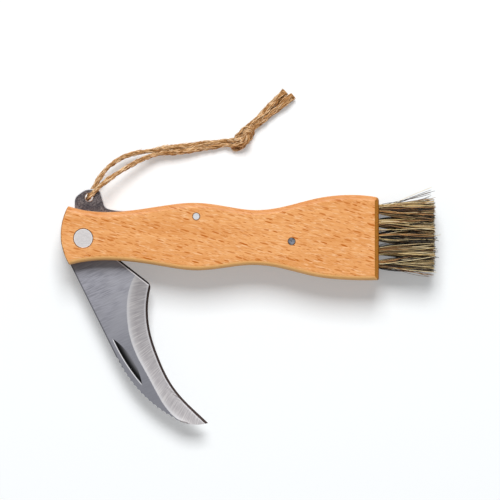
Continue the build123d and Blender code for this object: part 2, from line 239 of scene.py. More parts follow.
# Beech of the handle: its patterns' sizes along, across and through the wood, and their slopes
band_cell = (60 * mm, 5.0 * mm, 16 * mm)
band_slope = math.radians(-2)
grain_cell = (6 * mm, 0.5 * mm, 0.8 * mm)
grain_slope = math.radians(-7)
pale_cell = (3.6 * mm, 0.55 * mm, 3 * mm)
pale_slope = math.radians(-12)
pore_cell = (0.6 * mm, 0.28 * mm, 0.28 * mm)
fleck_cell = (4.2 * mm, 1.5 * mm, 9.0 * mm)
small_fleck_cell = (2.1 * mm, 0.8 * mm, 6.0 * mm)
fleck_slope = math.radians(-17)
fleck_slimness = (2.0, 4.0, 0.7)
fleck_looseness = 0.9
fleck_least_share = 0.35
fleck_growth_share = 0.8
fleck_soft_share = 0.28
fleck_faintness = 1.4
fleck_least_depth = 0.1
small_fleck_share = 0.6
edge_fleck_share = 0.3
beech_relief = 0.06 * mm

# How squarely the rounded long edges look up where they start and end, and which way they lean
rounding_start = (0.96, 0.975)
rounding_end = (0.05, 0.35)
lean_to_belly = (0.05, -0.05)
lean_to_back = (-0.05, 0.05)


def flecks(tree, cell):
    """Short ray flecks: one slim lens in each cell of a loose pattern."""
    half = (0.5, 0.5, 0.5)
    place = place_on(tree, cell, fleck_slope)
    inputs = {"Vector": place, "Scale": fleck_looseness, "Detail": 1.0}
    wander = node(tree, "TexNoise", inputs).outputs[1]
    eased = vectors(tree, "MULTIPLY", vectors(tree, "SUBTRACT", wander, half), half)
    waved = vectors(tree, "ADD", place, eased)
    inputs = {"Vector": waved, "Scale": 1.0, "Randomness": fleck_looseness}
    cells = node(tree, "TexVoronoi", inputs).outputs
    away = vectors(tree, "SUBTRACT", waved, cells["Position"])
    reach = length_of(tree, vectors(tree, "MULTIPLY", away, fleck_slimness))
    chance = node(tree, "SeparateColor", {0: cells["Color"]}).outputs
    size = plus(tree, times(tree, chance[0], fleck_growth_share), fleck_least_share)
    strength = maths(tree, "POWER", chance[1], fleck_faintness)
    depth = plus(tree, strength, fleck_least_depth, clamp=True)
    return times(tree, rise(tree, less(tree, size, reach), 0.0, fleck_soft_share), depth)


def fleck_marks(tree, level):
    """Large and small flecks, fainter where the wood turns down to its edges."""
    small = times(tree, flecks(tree, small_fleck_cell), small_fleck_share)
    marks = maths(tree, "MAXIMUM", flecks(tree, fleck_cell), small)
    fuller = times(tree, rise(tree, level, 0.5, 0.95), 1 - edge_fleck_share)
    return times(tree, marks, plus(tree, fuller, edge_fleck_share))


def edge_light_and_shade(tree, colour, way, level):
    """The rounded long edges: painted light along the belly and painted shade along the back, by
    which way each edge leans.
    """
    leaning = less(tree, rise(tree, level, *rounding_end), rise(tree, level, *rounding_start))
    belly = times(tree, leaning, rise(tree, way, *lean_to_belly))
    back = times(tree, leaning, rise(tree, way, *lean_to_back))
    # Painted light on the belly's rounded edge and painted shade on the back's
    colour = tinted(tree, colour, belly, 0.85, srgb(255, 196, 124))
    return tinted(tree, colour, back, 0.5, srgb(200, 128, 72))


def pin_rings(tree, colour):
    """A dark ring in the wood round each cross pin."""
    pin_ring_start = pin_radius + pin_ring_soft_share * pin_ring_width
    pin_ring_end = pin_radius + pin_ring_width
    for place in (spring_pin_place, tail_pin_place):
        out = off_centre(tree, place)
        pin_ring = rise(tree, out, pin_ring_end, pin_ring_start)
        colour = tinted(tree, colour, pin_ring, 0.7, srgb(92, 62, 44))
    return colour


def end_grain(tree, colour, way):
    """The wood's ends, darker and full of fine pores."""
    pores = noise(tree, place_on(tree, pore_cell), 2.0)
    ends = mixed(tree, rise(tree, pores, 0.45, 0.7), srgb(180, 118, 40), srgb(152, 88, 26))
    return mixed(tree, rise(tree, maths(tree, "ABSOLUTE", way), 0.3, 0.5), colour, ends)


def beech():
    """Oiled beech: pale orange with darker flecks, fine streaks and darker end grain."""
    finish, tree, shader = new_finish("beech", roughness=0.5, specular=0.3)
    bands = noise(tree, place_on(tree, band_cell, band_slope), 3.0, 0.6)
    grain = noise(tree, place_on(tree, grain_cell, grain_slope), 3.0)
    pale = noise(tree, place_on(tree, pale_cell, pale_slope), 2.0)
    fine = rise(tree, grain, 0.45, 0.7)
    colour = mixed(tree, rise(tree, bands, 0.35, 0.68), srgb(242, 174, 108), srgb(232, 160, 92))
    colour = tinted(tree, colour, fine, 0.6, srgb(220, 138, 64))
    colour = tinted(tree, colour, rise(tree, pale, 0.52, 0.72), 0.65, srgb(255, 206, 156))
    ways = face_way(tree)
    level = maths(tree, "ABSOLUTE", ways[2])
    marks = fleck_marks(tree, level)
    colour = mixed(tree, marks, colour, srgb(196, 104, 6))
    colour = edge_light_and_shade(tree, colour, ways[1], level)
    colour = pin_rings(tree, colour)
    colour = end_grain(tree, colour, ways[0])
    tree.links.new(colour, shader.inputs["Base Color"])
    tree.links.new(plus(tree, times(tree, fine, 0.18), 0.44), shader.inputs["Roughness"])
    bump(tree, shader, plus(tree, marks, times(tree, grain, 0.5)), 0.2, -beech_relief)
    return finish


# Blade's grind: its edge and ridge, as shares of the spans of turn and radius about a centre
edge_centre = Vector((88.3, -28.8, 9.5)) * mm
edge_turn_low = -0.2
edge_turn_span = 1.2
edge_radius_low = 60 * mm
edge_radius_span = 12 * mm
edge_shares = [
    (0.0, 0.074), (0.083, 0.1), (0.167, 0.138), (0.25, 0.152), (0.333, 0.146),
    (0.417, 0.129), (0.5, 0.123), (0.583, 0.141), (0.667, 0.154), (0.75, 0.149),
    (0.833, 0.146), (0.917, 0.168), (1.0, 0.196),
]
ridge_shares = [
    (0.0, 0.614), (0.083, 0.758), (0.167, 0.813), (0.25, 0.823), (0.333, 0.808),
    (0.417, 0.758), (0.5, 0.687), (0.583, 0.658), (0.667, 0.69), (0.75, 0.738),
    (0.833, 0.707), (1.0, 0.677),
]
grind_skew = 0.3
grind_cell = (0.45 * mm, 8 * mm, 9 * mm)
flat_brushing = math.radians(24)
flat_cell = (5 * mm, 0.4 * mm, 9 * mm)
cloud_cell = (16 * mm, 12 * mm, 20 * mm)
blade_relief = 0.03 * mm

# How squarely the blade's faces look up: grind, bevels, and all that is seen from above
ground_slant = (0.9975, 0.9990)
bevel_slant = (0.985, 0.991)
seen_slant = (0.5, 0.6)

# Tip, heel, nick and back of the blade: ranges and widths in millimetres along and across each
tip_shade = (20, 60)
heel_corner = Vector((29.06, -19.85, 9.5)) * mm
heel_slope = math.radians(-37.8)
heel_dark_end = (0.8, 0.6)
heel_line_start = (0.6, 0.8)
heel_line_end = (1.0, 1.3)
kick_start = (0.3, -0.7)
nick_centre = Vector((18.85, -53.05, 10.5)) * mm
nick_turn = math.radians(6.1) - half_open_angle
nick_reach = 11.9 * mm
nick_reach_share = 1.1
nick_half_width = 3.0
nick_steep_width = 0.9
nick_long_width = 2.4
nick_rim_start = (-0.32, -0.2)
nick_rim_end = (0.25, 0.1)
nick_rim_reach_shares = (1.02, 0.9)
back_line = -10.1
# Reach of the painted shade line along the back, in millimetres
back_shade_reach = (0.25, 0.7)


def grind_places(tree):
    """Shares of the way along the grind and from its edge to its ridge, and its brush marks."""
    apart = parts_of(tree, place_on(tree, in_metres, math.pi, edge_centre))
    turn = maths(tree, "ARCTAN2", apart[1], apart[0])
    out = off_axis(tree, apart)
    along = maths(tree, "DIVIDE", less(tree, turn, edge_turn_low), edge_turn_span)
    height = maths(tree, "DIVIDE", less(tree, out, edge_radius_low), edge_radius_span)
    edge = curve_by(tree, along, edge_shares)
    ridge = curve_by(tree, along, ridge_shares)
    across = maths(tree, "DIVIDE", less(tree, height, edge), less(tree, ridge, edge))
    skewed = less(tree, times(tree, turn, edge_radius_low), times(tree, out, grind_skew))
    polar = node(tree, "CombineXYZ", {0: skewed, 1: out, 2: apart[2]}).outputs[0]
    inputs = {"Vector": polar, "Scale": grind_cell}
    marks = noise(tree, node(tree, "Mapping", inputs, vector_type="TEXTURE").outputs[0], 3.0)
    return along, across, marks


def grind_colour(tree, along, across, marks):
    """The grind: painted highlights along its edge and its ridge over a darker middle, with pale
    marks across it.
    """
    # Painted highlights at the grind's edge and ridge, painted shade between them
    grind = colour_by(tree, across, [
        (0.0, srgb(204, 202, 205)),
        (0.04, srgb(198, 196, 200)),
        (0.11, srgb(166, 163, 166)),
        (0.55, srgb(165, 161, 164)),
        (0.78, srgb(183, 180, 182)),
        (0.92, srgb(204, 203, 206)),
        (1.0, srgb(202, 202, 206)),
    ])
    grind = tinted(tree, grind, rise(tree, along, 0.3, 1.0), 0.1, srgb(215, 212, 212))
    return tinted(tree, grind, rise(tree, marks, 0.42, 0.68), 0.55, srgb(215, 212, 211))


def flat_colour(tree, towards_tip, marks):
    """The flats: slanting brush marks, pale clouds, and darker towards the tip."""
    cloud = noise(tree, place_on(tree, cloud_cell, flat_brushing), 2.0)
    flat = mixed(tree, rise(tree, marks, 0.35, 0.65), srgb(142, 142, 150), srgb(169, 169, 178))
    flat = tinted(tree, flat, rise(tree, cloud, 0.4, 0.7), 0.6, srgb(179, 179, 186))
    return tinted(tree, flat, rise(tree, towards_tip, *tip_shade), 0.8, srgb(139, 140, 148))


def heel_shade_and_highlight(tree, colour):
    """The heel's broken edge, up to the kick: painted shade along it, with a painted highlight line
    inside it.
    """
    from_heel = parts_of(tree, place_on(tree, in_millimetres, heel_slope, heel_corner))
    inside = times(tree, from_heel[1], -1.0)
    before_kick = rise(tree, from_heel[0], *kick_start)
    line = less(tree, rise(tree, inside, *heel_line_start), rise(tree, inside, *heel_line_end))
    bright = times(tree, line, before_kick)
    # Painted highlight line just inside the heel's edge
    colour = tinted(tree, colour, bright, 0.8, srgb(252, 248, 250))
    # Painted shade along the heel's edge
    dark = times(tree, rise(tree, inside, *heel_dark_end), before_kick)
    return mixed(tree, dark, colour, srgb(48, 42, 42))


def back_edge_shade(tree, colour, across):
    """The back's broken edge, with a painted shade line along it."""
    inside = less(tree, across, back_line)
    # Painted shade along the back's edge
    back_shade = less(tree, 1.0, rise(tree, inside, *back_shade_reach))
    return tinted(tree, colour, back_shade, 0.8, srgb(84, 84, 88))


def nick_and_edges(tree, colour, up):
    """Slanting faces: the nail nick with painted shade in its hollow and a painted highlight on its
    rim, and painted shade on the bevels of the edges.
    """
    nick = parts_of(tree, place_on(tree, (nick_reach, mm, mm), nick_turn, nick_centre))
    along = maths(tree, "ABSOLUTE", nick[0])
    shrink = less(tree, 1.0, maths(tree, "POWER", along, 2.0))
    over_rim = plus(tree, nick[1], times(tree, shrink, nick_steep_width))
    across = maths(tree, "DIVIDE", over_rim, nick_steep_width + nick_long_width)
    # Painted shade in the nick's hollow, darkest at its crease
    hollow = colour_by(tree, across, [
        (0.0, srgb(30, 30, 32)),
        (0.3, srgb(42, 42, 44)),
        (0.5, srgb(84, 84, 86)),
        (0.75, srgb(150, 150, 156)),
        (1.0, srgb(200, 200, 208)),
    ])
    lengthways = maths(tree, "LESS_THAN", along, nick_reach_share)
    crossways = maths(tree, "LESS_THAN", maths(tree, "ABSOLUTE", nick[1]), nick_half_width)
    # Painted shade on the slanting edge bevels
    slanting = mixed(tree, times(tree, lengthways, crossways), srgb(66, 56, 54), hollow)
    steep = less(tree, 1.0, rise(tree, up, *bevel_slant))
    seen_above = rise(tree, up, *seen_slant)
    colour = mixed(tree, times(tree, steep, seen_above), colour, slanting)
    # Painted highlight along the nick's rim
    outside = rise(tree, over_rim, *nick_rim_start)
    rim = times(tree, outside, rise(tree, over_rim, *nick_rim_end))
    rim = times(tree, rim, rise(tree, along, *nick_rim_reach_shares))
    return mixed(tree, rim, colour, srgb(244, 244, 248))


def blade_steel():
    """Brushed stainless: flats brushed slantwise, the grind brushed across its edge."""
    finish, tree, shader = new_finish("blade_steel", metallic=1.0, roughness=0.5)
    up = facing(tree, 2)
    ground_face = less(tree, 1.0, rise(tree, up, *ground_slant))
    own = parts_of(tree, place_on(tree, in_millimetres, -half_open_angle))
    along, across, grind_marks = grind_places(tree)
    flat_marks = noise(tree, place_on(tree, flat_cell, flat_brushing), 3.0)
    flat = flat_colour(tree, own[0], flat_marks)
    grind = grind_colour(tree, along, across, grind_marks)
    colour = mixed(tree, ground_face, flat, grind)
    colour = heel_shade_and_highlight(tree, colour)
    colour = back_edge_shade(tree, colour, own[1])
    colour = nick_and_edges(tree, colour, up)
    tree.links.new(colour, shader.inputs["Base Color"])
    bump(tree, shader, mixed(tree, ground_face, flat_marks, grind_marks), 0.06, blade_relief)
    return finish


# Spring, rivet, pins and wires
mottle_cell = (0.9 * mm, 0.6 * mm, 0.9 * mm)
mottle_turn = 0.5
scale_cell = (5 * mm, 3 * mm, 5 * mm)
broken_edge_slant = (0.4, 0.55)
spring_face_slant = (0.85, 0.95)
spring_relief = 0.04 * mm
ring_width = 0.35 * mm
head_cell = (1.1 * mm, 0.8 * mm, 1.1 * mm)
head_relief = 0.03 * mm
rim_start_share = 0.86
rim_end_share = 0.94
drawn_cell = (3 * mm, 0.4 * mm, 0.4 * mm)


def spring_steel():
    """Dark heat treated steel, mottled, with a painted highlight on its broken edges."""
    finish, tree, shader = new_finish("spring_steel", metallic=1.0, roughness=0.45)
    mottle = noise(tree, place_on(tree, mottle_cell, mottle_turn), 4.0)
    scale = noise(tree, place_on(tree, scale_cell), 2.0)
    colour = mixed(tree, rise(tree, mottle, 0.3, 0.7), srgb(77, 70, 72), srgb(134, 126, 126))
    colour = tinted(tree, colour, rise(tree, scale, 0.4, 0.7), 0.6, srgb(63, 60, 67))
    up = facing(tree, 2)
    not_face = less(tree, 1.0, rise(tree, up, *spring_face_slant))
    # Painted highlight on the slanted broken edges
    rim = times(tree, rise(tree, up, *broken_edge_slant), not_face)
    colour = mixed(tree, rim, colour, srgb(248, 248, 252))
    tree.links.new(colour, shader.inputs["Base Color"])
    bump(tree, shader, mottle, 0.1, spring_relief)
    return finish


def turned_metal(name, centre, radius, light, dark, roughness):
    """A flat turned head: faint rings about its centre, a slight mottle and a painted highlight
    round its rim.
    """
    finish, tree, shader = new_finish(name, metallic=1.0, roughness=roughness)
    out = off_centre(tree, centre)
    ring = node(tree, "CombineXYZ", {0: maths(tree, "DIVIDE", out, ring_width)}).outputs[0]
    mottle = noise(tree, place_on(tree, head_cell), 3.0)
    marks = times(tree, noise(tree, ring, 2.0), mottle)
    colour = mixed(tree, rise(tree, marks, 0.12, 0.38), dark, light)
    # Painted highlight round the head's rim
    rim = rise(tree, out, radius * rim_start_share, radius * rim_end_share)
    colour = mixed(tree, rim, colour, srgb(250, 251, 255))
    tree.links.new(colour, shader.inputs["Base Color"])
    bump(tree, shader, marks, 0.08, head_relief)
    return finish


def drawn_metal(name, light, dark, roughness):
    """Plain metal with faint marks from rolling or drawing."""
    finish, tree, shader = new_finish(name, metallic=1.0, roughness=roughness)
    marks = noise(tree, place_on(tree, drawn_cell), 3.0)
    tree.links.new(mixed(tree, marks, light, dark), shader.inputs["Base Color"])
    return finish


# Fibres: jute and bristle take their colours from an attribute that each fibre carries
def fibre_finish(name, attribute, stops, roughness, mottle_size, mottle_share):
    """A fibre's own colour with a slight change along it."""
    finish, tree, shader = new_finish(name, roughness=roughness, specular=0.3)
    own = node(tree, "Attribute", {}, attribute_name=attribute).outputs["Fac"]
    mottle = noise(tree, place_on(tree, mottle_size), 2.0)
    shift = times(tree, less(tree, mottle, 0.5), mottle_share)
    colour = colour_by(tree, plus(tree, own, shift, clamp=True), stops)
    tree.links.new(colour, shader.inputs["Base Color"])
    return finish


def fade_along(finish, start, end, share, colour):
    """Lay a colour over a finish, from nothing at a start along X to the share given at an end."""
    tree = finish.node_tree
    base = tree.nodes["Principled BSDF"].inputs["Base Color"]
    along = parts_of(tree, place_on(tree, in_metres))[0]
    faded = rise(tree, along, start, end)
    tree.links.new(tinted(tree, base.links[0].from_socket, faded, share, colour), base)


def link(name, mesh):
    """A new piece that holds the mesh, standing at the origin."""
    piece = bpy.data.objects.new(name, mesh)
    bpy.context.scene.collection.objects.link(piece)
    return piece


ring_corners = 4
caps_corners = 2 * ring_corners


def fibre_mesh(name, fibres, attribute):
    """Thin four sided fibres, each with its places, radii and a value for its colour.
    The mesh lists the caps of all the fibres first, the last fibre's before the others.
    """
    data = bpy.data.curves.new(name, "CURVE")
    data.dimensions = "3D"
    data.bevel_depth = 1.0
    data.bevel_resolution = 0
    data.use_fill_caps = True
    for places, radii, _ in fibres:
        spline = data.splines.new("POLY")
        spline.points.add(len(places) - 1)
        for point, place, radius in zip(spline.points, places, radii):
            point.co = (*place, 1)
            point.radius = radius
    holder = bpy.data.objects.new(name, data)
    mesh = bpy.data.meshes.new_from_object(holder)
    bpy.data.objects.remove(holder)
    bpy.data.curves.remove(data)
    mesh.name = name
    values = []
    for _, _, value in reversed(fibres):
        values += [value] * caps_corners
    for places, _, value in fibres:
        values += [value] * ring_corners * len(places)
    layer = mesh.attributes.new(attribute, "FLOAT", "POINT")
    layer.data.foreach_set("value", values)
    mesh.shade_smooth()
    return mesh


# Twine: each strand runs from the tab's hole through a doubled overhand knot to its cut end
twine_diameter = 2.0 * mm
knot_turn = Matrix.Rotation(math.radians(48), 4, "Z")
knot_size = Matrix.Diagonal((1.04, 1.1, 1.0, 1.0))
knot_place = Matrix.Translation((68.0, 43.5, 2.75)) @ knot_turn @ knot_size
loop_points = {
    "twine_strand_front": [
        (2.35, 17.65, 9.5),
        (2.25, 17.55, 11.6),
        (3.4, 18.8, 12.6),
        (7.0, 22.5, 11.7),
        (12.6, 26.8, 9.5),
        (19.2, 31.0, 7.4),
        (25.6, 34.4, 5.8),
        (30.5, 36.2, 4.7),
        (35.0, 36.9, 4.1),
        (39.5, 37.2, 3.7),
        (44.0, 37.6, 3.4),
        (48.5, 38.5, 2.7),
        (53.0, 39.2, 2.3),
        (57.0, 39.8, 2.2),
        (60.5, 40.5, 2.2),
    ],
    "twine_strand_rear": [
        (2.35, 17.65, 9.5),
        (1.95, 17.3, 8.5),
        (1.5, 16.8, 7.0),
        (1.7, 17.2, 6.0),
        (3.0, 19.6, 5.9),
        (5.2, 23.6, 5.8),
        (8.6, 28.9, 5.6),
        (13.6, 33.4, 5.3),
        (20.0, 36.4, 4.9),
        (26.6, 37.5, 4.4),
        (31.0, 38.0, 4.2),
        (35.0, 38.9, 3.9),
        (39.5, 39.4, 3.0),
        (44.0, 39.7, 2.6),
        (48.5, 40.4, 2.7),
        (53.0, 41.1, 2.7),
        (57.0, 41.5, 2.4),
        (60.6, 42.1, 2.2),
    ],
}
knot_points = {
    "twine_strand_front": [
        (-5.3, 0.6, 0.2),
        (-2.6, -1.3, 1.9),
        (-0.3, -2.7, 0.2),
        (1.9, -2.7, -1.5),
        (3.4, -2.2, -1.1),
        (4.6, -2.0, 0.4),
        (5.2, -0.2, 2.2),
        (3.9, 1.7, 2.0),
        (1.5, 1.6, 1.7),
        (-0.5, 1.6, 0.5),
        (-2.7, 1.2, -1.2),
        (-5.1, 0.6, -1.6),
        (-6.0, -0.9, -1.3),
        (-4.2, -2.3, -0.9),
        (-1.4, -2.6, 1.3),
        (0.8, -2.5, 2.3),
        (2.5, -1.0, 1.6),
        (4.1, 0.8, 0.0),
        (5.4, 1.0, 0.3),
    ],
    "twine_strand_rear": [
        (-3.9, 2.0, 0.2),
        (-1.2, 0.1, 1.9),
        (0.9, -1.1, 0.2),
        (1.9, -1.7, 0.3),
        (2.8, -1.6, 0.7),
        (3.4, -1.4, 1.6),
        (3.6, -0.4, 2.4),
        (2.9, 0.3, 2.4),
        (1.3, 0.0, 2.3),
        (-0.5, 0.0, 1.1),
        (-2.3, -0.4, -1.0),
        (-3.9, -0.6, -1.6),
        (-4.4, -0.7, -1.5),
        (-3.6, -0.9, -0.1),
        (-1.4, -1.0, 1.7),
        (0.8, -0.7, 2.1),
        (2.5, -0.6, -0.2),
        (4.1, -0.8, -0.6),
        (5.6, -0.9, 0.2),
    ],
}
tail_points = {
    "twine_strand_front": [
        (73.4, 50.3, 2.6),
        (77.5, 54.1, 2.5),
        (81.4, 58.0, 2.2),
        (84.8, 61.4, 2.2),
        (87.0, 63.4, 2.3),
    ],
    "twine_strand_rear": [
        (74.7, 48.8, 2.6),
        (78.9, 52.5, 2.5),
        (83.3, 56.0, 2.2),
        (87.5, 59.6, 2.4),
        (90.5, 62.1, 2.5),
    ],
}

# Lay of a strand: its plies, and the fibres that wind about each
line_steps = 16
plies = 3
fibres_in_ply = 15
ply_offset = 0.4 * mm
ply_pitch = 11.0 * mm
ply_core_radius = 0.48 * mm
fibre_offset = 0.52 * mm
fibre_pitch = 17.0 * mm
fibre_radius = 0.13 * mm
fibre_step = 0.6 * mm
fibre_wander = 0.9
fibre_shift = 0.25
fibre_thickness_shares = (0.75, 1.3)
fibre_swell_shares = (0.05, 0.2)
fibre_strides = (0.15, 0.3)
fibre_swell_stride = 0.5
fibre_still_share = 0.6
fibre_shades = (0.18, 1.0)
any_turn = 6.28
core_shade = 0.34

# Tails that flare and come unlaid, a looser stretch before the knot, and an uneven swell
tail_length = 24 * mm
tail_flare = 0.85
tail_unlaid = 0.75
loose_place = 53 * mm
loose_reach = 10 * mm
loose_swell = 0.3
unevenness = 0.08
uneven_strides = (0.23, 0.37)
fray_reach = 2.4 * mm

# Fuzz, with lifts and radii in millimetres
fuzz_count = 260
fuzz_first = 4
fuzz_last = 2
fuzz_reaches = (2, 6)
fuzz_curl = 0.25
fuzz_bend = 1.6
fuzz_lifts = (0.2, 0.9)
fuzz_radii = (0.025, 0.045)
fuzz_root = 0.45 * twine_diameter
fuzz_shades = (0.5, 1.0)
jute_mottle = (1.6 * mm, 1.6 * mm, 1.6 * mm)
twine_seed = 11


def strand_route(name):
    """A strand's points in metres: the loop, the knot and the tail."""
    tied = [knot_place @ Vector(point) for point in knot_points[name]]
    points = [Vector(point) for point in loop_points[name]] + tied
    points += [Vector(point) for point in tail_points[name]]
    return [point * mm for point in points]


def smooth_line(points, steps):
    """Points read from the smooth NURBS line that a route's points control."""
    data = bpy.data.curves.new("route", "CURVE")
    data.dimensions = "3D"
    data.resolution_u = steps
    spline = data.splines.new("NURBS")
    spline.points.add(len(points) - 1)
    for point, place in zip(spline.points, points):
        point.co = (*place, 1)
    spline.order_u = 3
    spline.use_endpoint_u = True
    holder = bpy.data.objects.new("route", data)
    mesh = bpy.data.meshes.new_from_object(holder)
    line = [vertex.co.copy() for vertex in mesh.vertices]
    bpy.data.objects.remove(holder)
    bpy.data.curves.remove(data)
    bpy.data.meshes.remove(mesh)
    return line


def evenly(line, step):
    """Places a step apart along a line, from its start to its end."""
    places, left = [line[0].copy()], step
    for start, end in zip(line, line[1:]):
        run = (end - start).length
        while run > 0 and left <= run:
            start = start.lerp(end, left / run)
            places.append(start.copy())
            run -= left
            left = step
        left -= run
    return places


def sideways(line):
    """Two ways square to the line at each of its points, carried along without a twist."""
    ways = []
    side = (line[1] - line[0]).orthogonal().normalized()
    for index in range(len(line)):
        ahead = (line[min(index + 1, len(line) - 1)] - line[max(index - 1, 0)]).normalized()
        side = (side - ahead * side.dot(ahead)).normalized()
        ways.append((side, ahead.cross(side)))
    return ways


def around(ways, angle, distance):
    """An offset at an angle about the line."""
    side, up = ways
    return (side * math.cos(angle) + up * math.sin(angle)) * distance


def wind_and_swell(last, rng):
    """How far a strand has wound at each of its places, and how much it swells there."""
    phase = rng.uniform(0, any_turn)
    wound, spread = [0.0], []
    for index in range(last + 1):
        into_tail = max(0.0, 1 - (last * fibre_step - index * fibre_step) / tail_length)
        loose = math.exp(-(((index * fibre_step - loose_place) / loose_reach) ** 2))
        uneven = math.sin(index * uneven_strides[0] + phase)
        uneven += math.sin(index * uneven_strides[1] + 2 * phase)
        spread.append(1 + tail_flare * into_tail + loose_swell * loose + unevenness * uneven)
        wound.append(wound[-1] + 2 * math.pi * fibre_step * (1 - tail_unlaid * into_tail))
    return wound, spread


def ply_fibre(start_turn, centres, ways, wound, spread, rng):
    """One fibre, winding about its ply's middle to an uneven end."""
    thick = fibre_radius * rng.uniform(*fibre_thickness_shares)
    wave = rng.uniform(0, any_turn)
    swell = rng.uniform(*fibre_swell_shares)
    stride = rng.uniform(*fibre_strides)
    end = len(centres) - 1 - int(rng.random() * fray_reach / fibre_step)
    places, radii = [], []
    for index in range(end + 1):
        turn = start_turn - wound[index] / fibre_pitch
        turn += fibre_wander * math.sin(index * stride + wave)
        rough = 1 + swell * math.sin(index * fibre_swell_stride + wave)
        offset = around(ways[index], turn, fibre_offset * spread[index] * rough)
        places.append(centres[index] + offset)
        radii.append(thick * (fibre_still_share + (1 - fibre_still_share) * spread[index]))
    return (places, radii, rng.uniform(*fibre_shades))


def strand_fuzz(line, ways, spread, rng):
    """Short loose hairs that stand off a strand."""
    last = len(line) - 1
    hairs = []
    for _ in range(fuzz_count):
        at = rng.randrange(fuzz_first, last - fuzz_last)
        reach = rng.randrange(*fuzz_reaches)
        turn = rng.uniform(0, any_turn)
        curl = rng.uniform(-fuzz_curl, fuzz_curl)
        lift = rng.uniform(*fuzz_lifts) * mm
        places = []
        for step in range(reach + 1):
            index = min(at + step, last)
            out = fuzz_root * spread[index] + lift * (step / reach) ** fuzz_bend
            places.append(line[index] + around(ways[index], turn + curl * step, out))
        thin = rng.uniform(*fuzz_radii) * mm
        hairs.append((places, [thin] * len(places), rng.uniform(*fuzz_shades)))
    return hairs


def strand_fibres(line, rng):
    """The plies of a strand, each a dark core under fibres that wind about it, and loose fuzz."""
    ways = sideways(line)
    wound, spread = wind_and_swell(len(line) - 1, rng)
    fibres = []
    for ply in range(plies):
        ply_turn = 2 * math.pi * ply / plies
        centres = []
        for index, place in enumerate(line):
            turn = ply_turn + wound[index] / ply_pitch
            centres.append(place + around(ways[index], turn, ply_offset * spread[index]))
        fibres.append((centres, [ply_core_radius * swell for swell in spread], core_shade))
        for fibre in range(fibres_in_ply):
            shifted = fibre + rng.uniform(-fibre_shift, fibre_shift)
            start_turn = 2 * math.pi * shifted / fibres_in_ply
            fibres.append(ply_fibre(start_turn, centres, ways, wound, spread, rng))
    return fibres + strand_fuzz(line, ways, spread, rng)


jute = fibre_finish(
    "jute",
    "fibre",
    [
        (0.0, srgb(100, 60, 26)),
        (0.3, srgb(174, 122, 68)),
        (0.65, srgb(212, 168, 116)),
        (1.0, srgb(246, 216, 176)),
    ],
    roughness=0.8,
    mottle_size=jute_mottle,
    mottle_share=0.7,
)
for number, name in enumerate(loop_points):
    line = evenly(smooth_line(strand_route(name), line_steps), fibre_step)
    fibres = strand_fibres(line, random.Random(twine_seed + number))
    strand = link(name, fibre_mesh(name, fibres, "fibre"))
    strand.data.materials.append(jute)
    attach(strand, "handle")
    if number == 0:
        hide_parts("twine_front", "twine_tail_upper", "twine_knot")
    else:
        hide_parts("twine_rear", "twine_tail_lower")

# Brush: five rows and three files of tufts in the butt
row_places = [12.44, 6.54, 0.64, -5.26, -11.16]
file_places = [-5.5, 0.0, 5.5]
brush_rise = 0.64
butt = handle_high.x
bristle_length = 23.6 * mm
bristle_sunk = 2.0 * mm
clumps_in_tuft = 30
hairs_in_clump = 3
root_radius = 1.15 * mm
tip_radius = 3.7 * mm
tip_lean = 0.93
bulge = 0.3 * mm
hair_points = 9
bow_early = 0.7
cut_end_share = 0.7
bristle_margin = 0.3 * mm
bristle_mottle = (9 * mm, 3 * mm, 3 * mm)
tip_pale_start = 6 * mm
tip_pale_share = 0.08
brush_seed = 5

# Bristles of a tuft, with scatters and radii in millimetres
clump_scatter = 0.35
root_scatter = 0.12
tip_scatter = 0.9
cut_scatter = 0.4
bow_scatter = 0.25
wave_scatter = 0.2
tuft_radii = (0.08, 0.15)
like_share = 0.4

# Bands of dark and of pale bristles over the top, each from its roots' to its tips' Y
dark_bands = [(12.2, 8.6), (1.6, 8.0), (-0.2, -1.6), (-4.4, 0.4), (-11.0, -8.4)]
pale_bands = [(14.0, 14.4), (6.6, 5.2), (3.0, 4.6), (-3.9, -3.2), (-6.3, -6.9), (-11.2, -10.9)]
hairs_in_dark_band = 11
hairs_in_pale_band = 5
dark_shades = (0.0, 0.3)
pale_shades = (0.7, 0.95)
band_lift = 2.6 * mm
band_root_scatter = 0.4
band_tip_scatter = 0.7
band_radii = (0.09, 0.14)

# Crossing, fanned and trailing bristles, with sizes and places in millimetres
crossing_hairs = 30
crossing_cut_scatter = 1.3
crossing_sides = (-7, 7)
crossing_lifts = (-2, 8)
crossing_sways = (0.5, 0.3)
crossing_radii = (0.09, 0.15)
crossing_shades = [0.0, 0.1, 0.9]
brush_side_low = -14.5 * mm
brush_side_high = 16.5 * mm
fan_hairs = 14
fan_start = 15.0
fan_width = 7.4
fan_crowding = 1.3
fan_scatter = 0.3
fan_shortfalls = (-1.0, 2.0)
fan_radii = (0.08, 0.12)
fan_shades = [0.0, 0.3, 0.42, 0.6, 0.95]
trailing_hairs = 5
trailing_sides = (-16.6, -14.8)
trailing_shortfalls = (0, 3.0)
trailing_radii = (0.07, 0.11)
trailing_shades = (0.3, 0.8)
loose_sways = (0.3, 0.2)


def hair(root, tip, sway, thick, value):
    """One bristle: straight out of its hole, swaying on its way to its cut tip."""
    bow, wave = sway
    places = []
    for step in range(hair_points):
        share = step / (hair_points - 1)
        place = root.lerp(tip, share)
        place += bow * math.sin(math.pi * share**bow_early) + wave * math.sin(2 * math.pi * share)
        place.z = min(max(place.z, bristle_margin), handle_high.z - bristle_margin)
        places.append(place)
    radii = [thick] * (hair_points - 1) + [thick * cut_end_share]
    return (places, radii, value)


def spot(rng, radius):
    """A place in a disc that faces along the brush."""
    turn = rng.uniform(0, 2 * math.pi)
    out = math.sqrt(rng.random()) * radius
    return Vector((0, math.cos(turn), math.sin(turn))) * out


